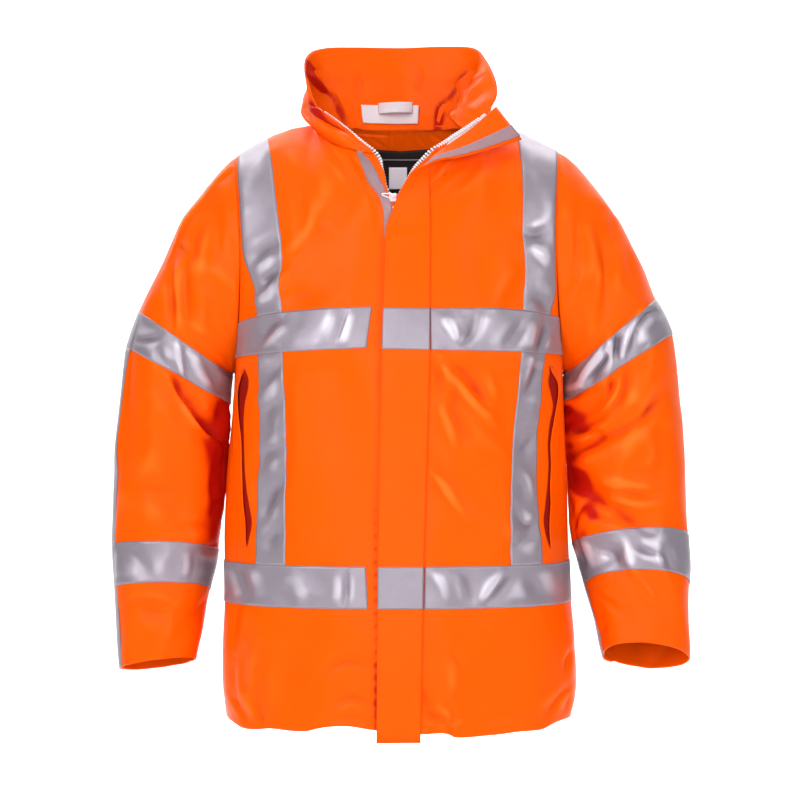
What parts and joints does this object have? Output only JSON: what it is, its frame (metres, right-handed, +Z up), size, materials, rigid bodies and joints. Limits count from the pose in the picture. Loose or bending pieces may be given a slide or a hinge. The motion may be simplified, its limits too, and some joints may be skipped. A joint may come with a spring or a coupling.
{
  "type": "high-visibility work parka",
  "caption": "Hollow long-sleeved hi-vis work parka with silver tape bands, storm flap and a front zip open at the neck, as worn.",
  "frame": {"origin": "middle of the neck opening, level with the side neck points, where the wearer's neck holds the parka", "axes": "+X to the wearer's left (right in a front view), -Y the way the front faces, +Z up from hem to collar"},
  "size_m": [0.721, 0.2946, 0.8605],
  "materials": {
    "orange_shell": "semi-gloss polyurethane-coated polyester",
    "silver_tape": "glass-bead retroreflective tape",
    "hook_and_loop": "matte hook and loop strip",
    "black_lining": "matte lining",
    "white_label": "woven satin label and tape",
    "white_zip": "moulded acetal zip"
  },
  "bodies": {
    "jacket": {"arm_band_left_lower": "silver_tape", "arm_band_left_upper": "silver_tape", "arm_band_right_lower": "silver_tape", "arm_band_right_upper": "silver_tape", "arm_tape_left_cuff": "silver_tape", "arm_tape_left_upper": "silver_tape", "arm_tape_right_cuff": "silver_tape", "arm_tape_right_upper": "silver_tape", "back": "orange_shell", "back_tape_left_lower": "silver_tape", "back_tape_left_upper": "silver_tape", "back_tape_right_lower": "silver_tape", "back_tape_right_upper": "silver_tape", "chest_tape_back": "silver_tape", "chest_tape_flap": "silver_tape", "chest_tape_left": "silver_tape", "chest_tape_right": "silver_tape", "collar_inner": "orange_shell", "collar_outer": "orange_shell", "front_left": "orange_shell", "front_right": "orange_shell", "hanger_loop": "white_label", "hem_tape_back": "silver_tape", "hem_tape_flap": "silver_tape", "hem_tape_left": "silver_tape", "hem_tape_right": "silver_tape", "hook_strip_flap": "hook_and_loop", "hook_strip_front": "hook_and_loop", "label_neck": "white_label", "label_size": "white_label", "lining_yoke": "black_lining", "neck_facing": "orange_shell", "pocket_welt_left": "orange_shell", "pocket_welt_right": "orange_shell", "sleeve_left": "orange_shell", "sleeve_right": "orange_shell", "slider": "white_zip", "storm_flap": "orange_shell", "upright_tape_left_lower": "silver_tape", "upright_tape_left_upper": "silver_tape", "upright_tape_right_lower": "silver_tape", "upright_tape_right_upper": "silver_tape", "zip_left": "white_zip", "zip_right": "white_zip"},
    "pull_tab": {"pull_tab": "white_zip"}
  },
  "joints": [
    {"name": "pull_swing", "type": "hinge", "parent": "jacket", "child": "pull_tab", "pos_m": [-0.00857, -0.12189, -0.0944], "axis": [0, 0.2352, 0.972], "range_deg": [0, 95]}
  ]
}
